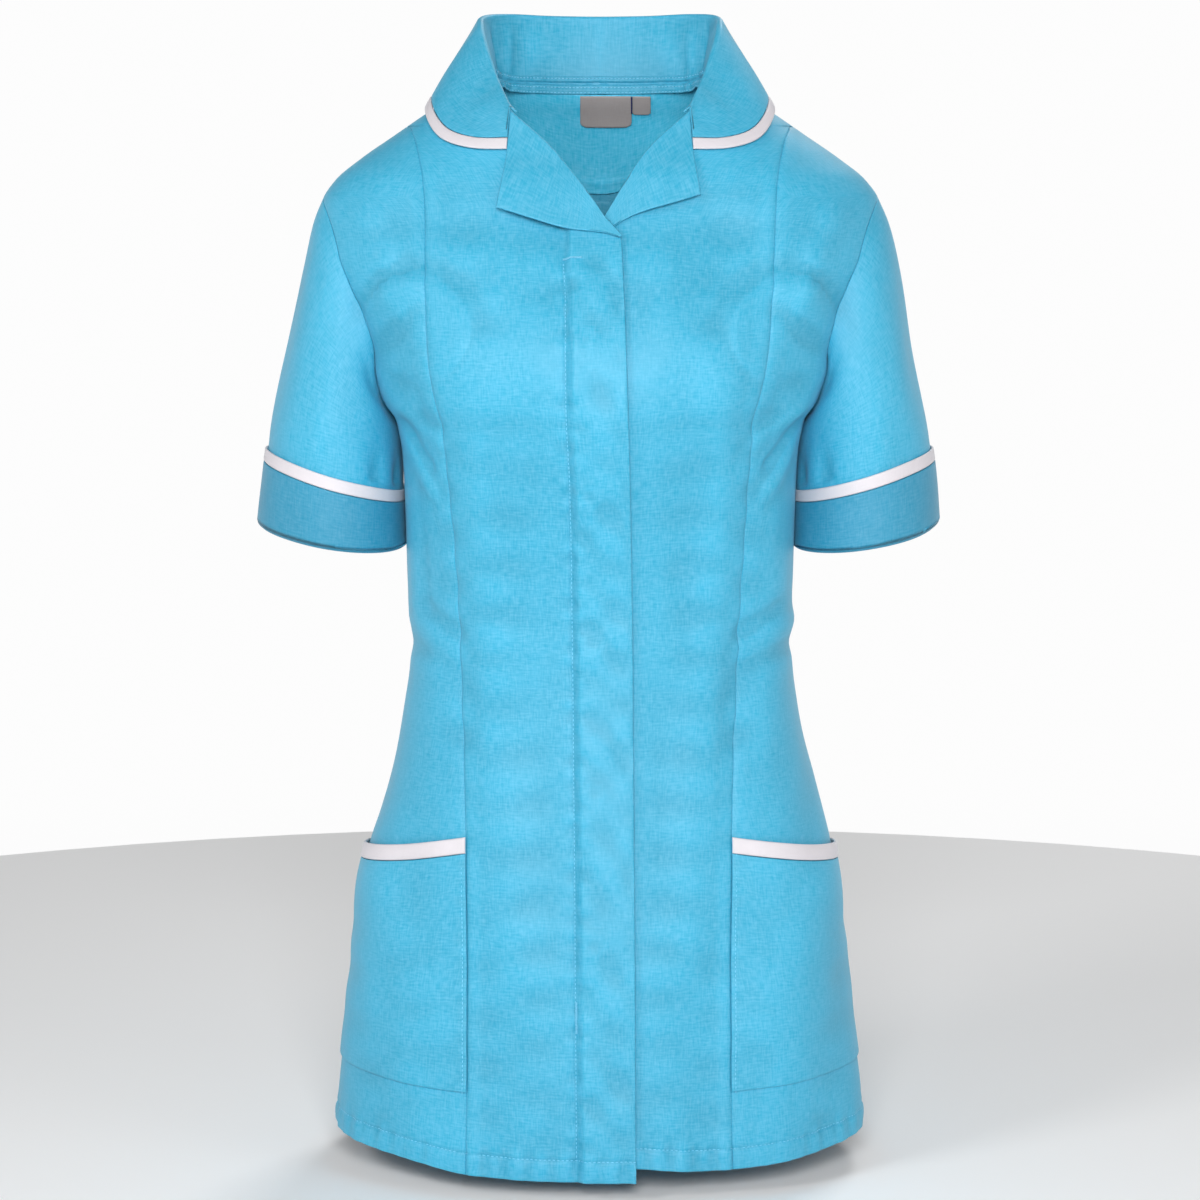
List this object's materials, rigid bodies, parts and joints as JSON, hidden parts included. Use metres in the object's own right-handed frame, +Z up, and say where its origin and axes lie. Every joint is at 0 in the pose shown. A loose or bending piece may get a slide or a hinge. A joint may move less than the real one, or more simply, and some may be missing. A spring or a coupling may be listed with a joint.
{
  "type": "work tunic",
  "caption": "Short-sleeved fitted healthcare tunic with a revere collar, concealed front fastening, patch pockets at the hips and white bound edges, in the shape it has when worn.",
  "frame": {"origin": "midway between the two points where the shoulder seams meet the neck seam, at their height, where the wearer's shoulders carry the tunic", "axes": "+Z up, the front faces -Y, +X is the wearer's left"},
  "size_m": [0.4722, 0.2578, 0.7783],
  "materials": {
    "sky_cloth": "fine poly-cotton twill with a slight sheen",
    "cuff_cloth": "the same twill, doubled",
    "white_binding": "white bias binding",
    "grey_label": "woven satin, plain",
    "stud_metal": "plain press stud"
  },
  "bodies": {
    "root": {"back_facing": "sky_cloth", "back_left": "sky_cloth", "back_right": "sky_cloth", "collar": "sky_cloth", "collar_piping": "white_binding", "cuff_left": "cuff_cloth", "cuff_piping_left": "white_binding", "cuff_piping_right": "white_binding", "cuff_right": "cuff_cloth", "front_left": "sky_cloth", "front_right": "sky_cloth", "label": "grey_label", "lapel_left": "sky_cloth", "lapel_right": "sky_cloth", "neck_tape": "sky_cloth", "pocket_binding_left": "white_binding", "pocket_binding_right": "white_binding", "pocket_left": "sky_cloth", "pocket_right": "sky_cloth", "press_stud_1": "stud_metal", "press_stud_2": "stud_metal", "press_stud_3": "stud_metal", "press_stud_4": "stud_metal", "press_stud_5": "stud_metal", "side_front_left": "sky_cloth", "side_front_right": "sky_cloth", "size_tab": "grey_label", "sleeve_left": "sky_cloth", "sleeve_right": "sky_cloth"}
  },
  "joints": []
}
